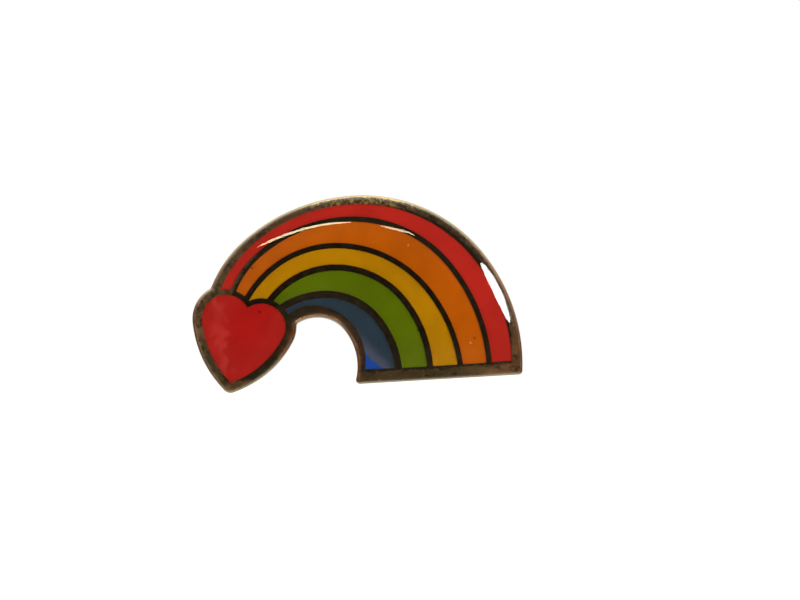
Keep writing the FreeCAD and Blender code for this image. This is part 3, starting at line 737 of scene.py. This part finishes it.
def clear_resin():
    """Clear epoxy. Light from lamps and off what lies below passes straight through it."""
    shader = Shader("clear_epoxy")
    shader.set(Base_Color=(1.0, 0.995, 0.98), IOR=1.5, Transmission_Weight=1.0, Roughness=0.015,
               Normal=shader.bump(shader.noise(0.35, detail=2.0), 0.005))
    path = shader.add("ShaderNodeLightPath").outputs
    passing = shader.math("ADD", path["Is Shadow Ray"], path["Is Diffuse Ray"], clamp=True)
    passing = shader.math("ADD", passing, path["Is Glossy Ray"], clamp=True)
    clear = shader.add("ShaderNodeBsdfTransparent")
    mixer = shader.add("ShaderNodeMixShader")
    shader.link(passing, mixer.inputs[0])
    shader.link(shader.surface.outputs[0], mixer.inputs[1])
    shader.link(clear.outputs[0], mixer.inputs[2])
    shader.link(mixer.outputs[0], shader.output.inputs["Surface"])
    return shader.material


def set_material(node, material):
    piece = NODES[node]
    if not piece.data.materials:
        piece.data.materials.append(material)
    for slot in piece.material_slots:
        slot.material = material


def soften(node, width_mm, segments=2):
    """Break a CAD node's sharp edges with a small rounding."""
    piece = NODES[node]
    weld = piece.modifiers.new("weld", "WELD")
    weld.merge_threshold = 0.001 * MM
    bevel = piece.modifiers.new("soft_edges", "BEVEL")
    bevel.width = width_mm * MM
    bevel.segments = segments
    bevel.limit_method = "ANGLE"
    bevel.angle_limit = math.radians(35)
    bevel.harden_normals = True


# ---- stage, camera, light ------------------------------------------------------

FLOOR_DROP = 22 * MM
FLOOR_RADIUS = 900 * MM
FRAME_WIDTH = 61.44 * MM
LENS = 100.0
SENSOR = 36.0
AIM_X = -1.54 * MM


def add_floor():
    bm = bmesh.new()
    bmesh.ops.create_circle(bm, cap_ends=True, segments=96, radius=FLOOR_RADIUS)
    mesh = bpy.data.meshes.new("floor")
    bm.to_mesh(mesh)
    bm.free()
    floor = bpy.data.objects.new("floor", mesh)
    floor.location = (0, 0, PLATE_LOW.z - FLOOR_DROP)
    floor.visible_glossy = False
    bpy.context.scene.collection.objects.link(floor)
    shader = Shader("pale_floor")
    shader.set(Base_Color=(0.9, 0.9, 0.9), Roughness=0.9, Specular_IOR_Level=0.0,
               Emission_Color=(1.0, 1.0, 1.0), Emission_Strength=0.3)
    mesh.materials.append(shader.material)


def add_camera():
    data = bpy.data.cameras.new("camera")
    data.lens = LENS
    data.sensor_width = SENSOR
    data.clip_start = 1 * MM
    data.clip_end = 10.0
    camera = bpy.data.objects.new("camera", data)
    distance = FRAME_WIDTH * LENS / SENSOR
    camera.location = (AIM_X, FRONT_Y - distance, 0.0)
    camera.rotation_euler = (math.radians(90), 0, 0)
    bpy.context.scene.collection.objects.link(camera)
    bpy.context.scene.camera = camera


LAMP_DISTANCE = 600 * MM
CREAM = (1.0, 0.80, 0.50)


def add_lamp(name, place, size, radiance, roll=0.0, shape="RECTANGLE", colour=(1.0, 1.0, 1.0)):
    """A soft box. Place is its azimuth (0 in front, 90 right) and elevation from the pin, and
    size its width and height as seen from there, all in degrees."""
    data = bpy.data.lights.new(name, "AREA")
    data.shape = shape
    data.color = colour
    data.size, data.size_y = (2 * LAMP_DISTANCE * math.tan(math.radians(span / 2)) for span in size)
    area = data.size * data.size_y * (math.pi / 4 if shape == "ELLIPSE" else 1)
    data.energy = radiance * math.pi * area
    lamp = bpy.data.objects.new(name, data)
    azimuth, elevation = (math.radians(angle) for angle in place)
    away = Vector((math.sin(azimuth) * math.cos(elevation),
                   -math.cos(azimuth) * math.cos(elevation), math.sin(elevation)))
    lamp.location = away * LAMP_DISTANCE
    turn = (-away).to_track_quat("-Z", "Y")
    lamp.rotation_mode = "QUATERNION"
    lamp.rotation_quaternion = turn @ Quaternion((0, 0, 1), math.radians(roll))
    lamp.visible_camera = False
    bpy.context.scene.collection.objects.link(lamp)


def world_ramp(tree, value, low, high, colours):
    """A colour that goes smoothly from one to the other as value rises from low to high."""
    share = tree.nodes.new("ShaderNodeMapRange")
    share.interpolation_type = "SMOOTHSTEP"
    tree.links.new(value, share.inputs[0])
    share.inputs[1].default_value = low
    share.inputs[2].default_value = high
    colour = tree.nodes.new("ShaderNodeMix")
    colour.data_type = "RGBA"
    tree.links.new(share.outputs[0], colour.inputs[0])
    for socket, shade in zip((colour.inputs[6], colour.inputs[7]), colours):
        if isinstance(shade, bpy.types.NodeSocket):
            tree.links.new(shade, socket)
        else:
            socket.default_value = (*shade, 1.0)
    return colour.outputs[2]


ROOM_DARK = (0.035, 0.030, 0.026)
ROOM_BROWN = (0.20, 0.145, 0.105)
STUDIO_LOW = (0.60, 0.60, 0.58)
STUDIO_SIDE = (0.28, 0.27, 0.26)
STUDIO_HIGH = (1.15, 1.15, 1.15)


def add_world():
    """White surroundings, dimmer below, that fall to a dark brown room on the camera's side."""
    world = bpy.data.worlds.new("studio")
    world.use_nodes = True
    tree = world.node_tree
    nodes, links = tree.nodes, tree.links
    nodes.clear()
    split = nodes.new("ShaderNodeSeparateXYZ")
    links.new(nodes.new("ShaderNodeTexCoord").outputs["Generated"], split.inputs[0])
    below = world_ramp(tree, split.outputs["Z"], -0.6, -0.1, (STUDIO_LOW, STUDIO_SIDE))
    studio = world_ramp(tree, split.outputs["Z"], 0.05, 0.6, (below, STUDIO_HIGH))
    room = world_ramp(tree, split.outputs["Y"], -0.995, -0.92, (ROOM_DARK, ROOM_BROWN))
    colour = world_ramp(tree, split.outputs["Y"], -0.6, 0.05, (room, studio))
    around = nodes.new("ShaderNodeBackground")
    links.new(colour, around.inputs["Color"])
    seen = nodes.new("ShaderNodeBackground")
    seen.inputs["Color"].default_value = (1, 1, 1, 1)
    mixer = nodes.new("ShaderNodeMixShader")
    links.new(nodes.new("ShaderNodeLightPath").outputs["Is Camera Ray"], mixer.inputs[0])
    links.new(around.outputs[0], mixer.inputs[1])
    links.new(seen.outputs[0], mixer.inputs[2])
    links.new(mixer.outputs[0], nodes.new("ShaderNodeOutputWorld").inputs["Surface"])
    bpy.context.scene.world = world


def add_lamps():
    add_lamp("strip_left", (-17, 27.2), (24, 2.4), 20, roll=-5, shape="ELLIPSE", colour=CREAM)
    add_lamp("strip_right", (6.0, 22.6), (7, 1.7), 18, roll=-12, shape="ELLIPSE", colour=CREAM)
    add_lamp("window", (45, 17.3), (13, 19), 26, shape="ELLIPSE")
    add_lamp("window_side", (55, 15), (3, 18), 8, shape="ELLIPSE")
    add_lamp("overhead", (0, 80), (40, 40), 1.0)
    add_lamp("rear", (160, 35), (40, 30), 2.0)


# ---- the whole -------------------------------------------------------------------

BAND_COLOURS = {
    "red_band_enamel": (0.38, 0.013, 0.008),
    "orange_band_enamel": (0.40, 0.081, 0.001),
    "yellow_band_enamel": (0.37, 0.165, 0.001),
    "green_band_enamel": (0.077, 0.117, 0.001),
}

add_floor()
add_camera()
add_world()
add_lamps()
bpy.context.scene.view_settings.view_transform = "Standard"

for node, colour in BAND_COLOURS.items():
    set_material(node, band_enamel(node, colour))
set_material("blue_band_enamel", blue_enamel("blue_band_enamel", (0.014, 0.031, 0.048)))
set_material("heart_enamel", heart_enamel("heart_enamel", (0.33, 0.008, 0.006)))
set_material("base_plate", plate_metal())
soften("base_plate", 0.05)
set_material("post", sheet_metal("plated_steel", (0.72, 0.62, 0.42), (0.50, 0.38, 0.2)))
brass = sheet_metal("clutch_brass", (0.80, 0.60, 0.28), (0.55, 0.36, 0.13), brushed=(6.0, 1.0, 0.4))
set_material("clutch_cover", brass)
wing_brass = sheet_metal("wing_brass", (0.84, 0.64, 0.30), (0.60, 0.40, 0.15), brushed=(0.4, 1.0, 6.0))
set_material("right_wing", wing_brass)
set_material("left_wing", wing_brass)
for node, width in (("post", 0.04), ("clutch_cover", 0.06), ("right_wing", 0.06), ("left_wing", 0.06)):
    soften(node, width)

build_clutch_base().data.materials.append(brass)
build_solder().data.materials.append(solder_metal())

dome = build_dome()
dome.data.materials.append(clear_resin())
